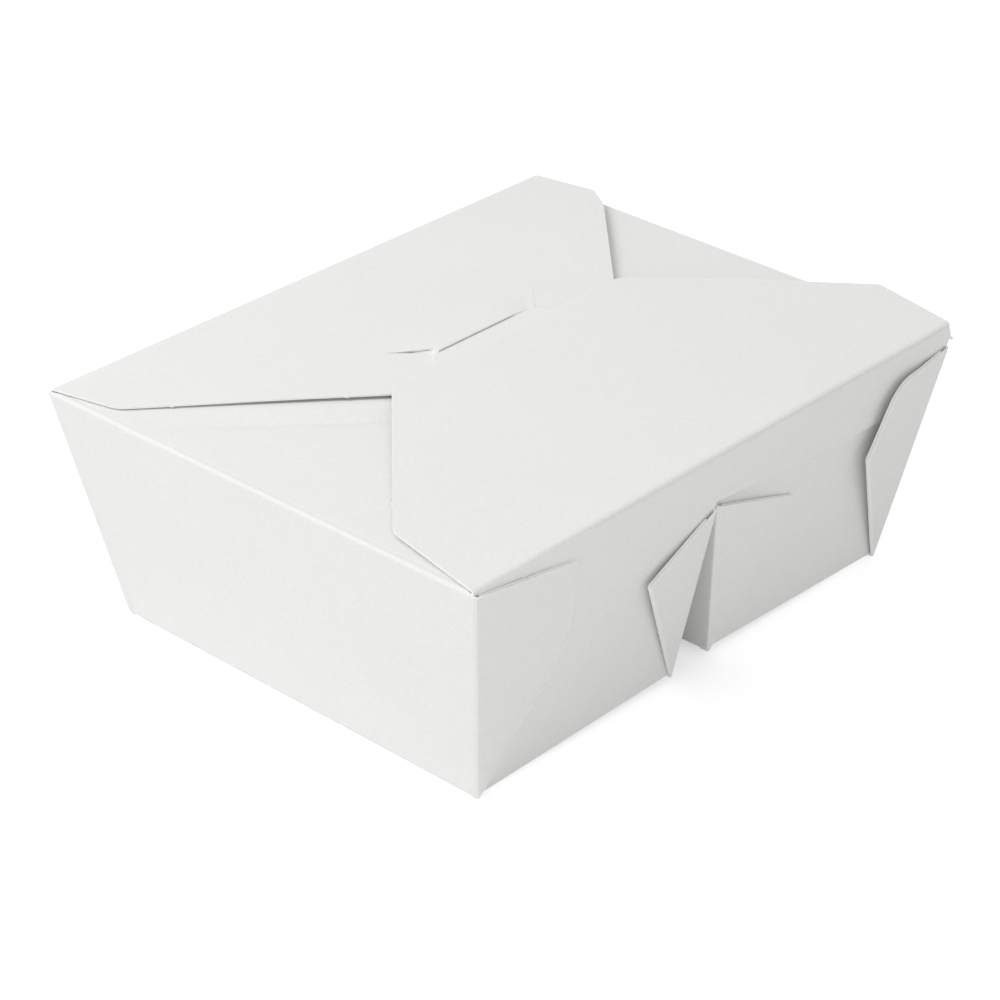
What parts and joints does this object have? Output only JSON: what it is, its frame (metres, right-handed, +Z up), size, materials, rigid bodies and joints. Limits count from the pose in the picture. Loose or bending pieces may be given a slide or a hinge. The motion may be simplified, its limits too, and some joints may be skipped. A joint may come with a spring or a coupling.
{
  "type": "takeout food box",
  "caption": "Closed folded paperboard takeout box with flared walls, a folded-up divider between two compartments, and a tab flap locked in a slit.",
  "frame": {"origin": "centre of the closed carton's overall box, at the surface it stands on", "axes": "+X along the two notched end walls from the left compartment to the right one, +Y from the tab flap's crease towards the slotted flap's crease, +Z up"},
  "size_m": [0.1798, 0.1466, 0.0682],
  "materials": {
    "board": "matte uncoated white board"
  },
  "bodies": {
    "tray": {"tray": "board"},
    "tab_flap": {"tab_flap": "board"}
  },
  "joints": [
    {"name": "tab_flap_crease", "type": "hinge", "parent": "tray", "child": "tab_flap", "pos_m": [-0.00275, -0.0707, 0.06517], "axis": [0.9998, 0, 0.0201], "range_deg": [0, 180]}
  ]
}
